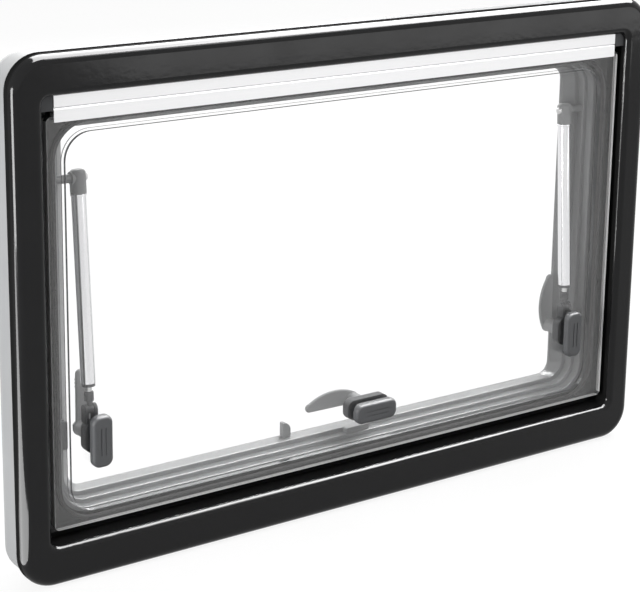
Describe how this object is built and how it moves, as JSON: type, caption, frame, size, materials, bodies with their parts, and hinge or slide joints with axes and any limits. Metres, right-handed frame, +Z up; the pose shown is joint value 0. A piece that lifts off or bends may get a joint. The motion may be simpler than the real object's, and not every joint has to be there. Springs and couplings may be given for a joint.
{
  "type": "top-hung caravan window",
  "caption": "Top-hung caravan window: tinted double acrylic sash in a black rounded frame with a pale inner frame, hinge rails, telescopic stays and turn latches.",
  "frame": {"origin": "middle of the window on the plane where the outer frame's flange lies against the wall", "axes": "+X to the right seen from outside, +Y into the vehicle, +Z up"},
  "size_m": [0.742, 0.059, 0.492],
  "materials": {
    "black_frame": "gloss",
    "pale_frame": "satin",
    "seal_rubber": "matt",
    "rail_aluminium": "satin",
    "tube_aluminium": "drawn",
    "rod_steel": "drawn",
    "tinted_acrylic": "clear",
    "grey_plastic": "satin"
  },
  "bodies": {
    "frame": {"outer_frame": "black_frame", "inner_frame": "pale_frame", "frame_seal": "seal_rubber", "upper_hinge_rail": "rail_aluminium", "centre_keeper": "pale_frame", "sill_catch": "pale_frame", "left_hinge_cap": "grey_plastic", "left_stay_bracket": "pale_frame", "left_keeper": "pale_frame", "right_hinge_cap": "grey_plastic", "right_stay_bracket": "pale_frame", "right_keeper": "pale_frame"},
    "sash": {"lower_hinge_rail": "rail_aluminium", "outer_sheet": "tinted_acrylic", "inner_sheet": "tinted_acrylic", "centre_latch_plate": "grey_plastic", "centre_latch_base": "grey_plastic", "left_latch_plate": "grey_plastic", "left_latch_base": "grey_plastic", "right_latch_plate": "grey_plastic", "right_latch_base": "grey_plastic"},
    "centre_lever": {"centre_latch_lever": "grey_plastic"},
    "left_stay": {"left_stay_cap": "grey_plastic", "left_stay_tube": "tube_aluminium", "left_stay_collar": "grey_plastic"},
    "left_rod": {"left_stay_rod": "rod_steel", "left_rod_end": "grey_plastic"},
    "left_lever": {"left_latch_lever": "grey_plastic"},
    "right_stay": {"right_stay_cap": "grey_plastic", "right_stay_tube": "tube_aluminium", "right_stay_collar": "grey_plastic"},
    "right_rod": {"right_stay_rod": "rod_steel", "right_rod_end": "grey_plastic"},
    "right_lever": {"right_latch_lever": "grey_plastic"}
  },
  "joints": [
    {"name": "sash_hinge", "type": "hinge", "parent": "frame", "child": "sash", "pos_m": [0, -0.006, 0.1951], "axis": [-1, 0, 0], "range_deg": [0, 50]},
    {"name": "left_stay_swing", "type": "hinge", "parent": "frame", "child": "left_stay", "pos_m": [-0.29, 0.0235, 0.125], "axis": [-1, 0, 0], "range_deg": [0, 58.5]},
    {"name": "left_stay_slide", "type": "slide", "parent": "left_stay", "child": "left_rod", "axis": [0, -0.0696, -0.9976], "range_m": [0, 0.05348]},
    {"name": "left_lever_turn", "type": "hinge", "parent": "sash", "child": "left_lever", "pos_m": [-0.2875, 0.014, -0.116], "axis": [0, 1, 0], "range_deg": [0, 90]},
    {"name": "right_stay_swing", "type": "hinge", "parent": "frame", "child": "right_stay", "pos_m": [0.29, 0.0235, 0.125], "axis": [-1, 0, 0], "range_deg": [0, 58.5]},
    {"name": "right_stay_slide", "type": "slide", "parent": "right_stay", "child": "right_rod", "axis": [0, -0.0696, -0.9976], "range_m": [0, 0.05348]},
    {"name": "right_lever_turn", "type": "hinge", "parent": "sash", "child": "right_lever", "pos_m": [0.2875, 0.014, -0.116], "axis": [0, -1, 0], "range_deg": [0, 90]},
    {"name": "centre_lever_turn", "type": "hinge", "parent": "sash", "child": "centre_lever", "pos_m": [0.023, 0.014, -0.15], "axis": [0, 1, 0], "range_deg": [0, 90]}
  ],
  "couplings": [
    {"joint": "left_stay_swing", "follows": "sash_hinge", "ratio": 1.1699},
    {"joint": "left_stay_slide", "follows": "sash_hinge", "m_per_rad": 0.061283},
    {"joint": "right_stay_swing", "follows": "sash_hinge", "ratio": 1.1699},
    {"joint": "right_stay_slide", "follows": "sash_hinge", "m_per_rad": 0.061283}
  ]
}
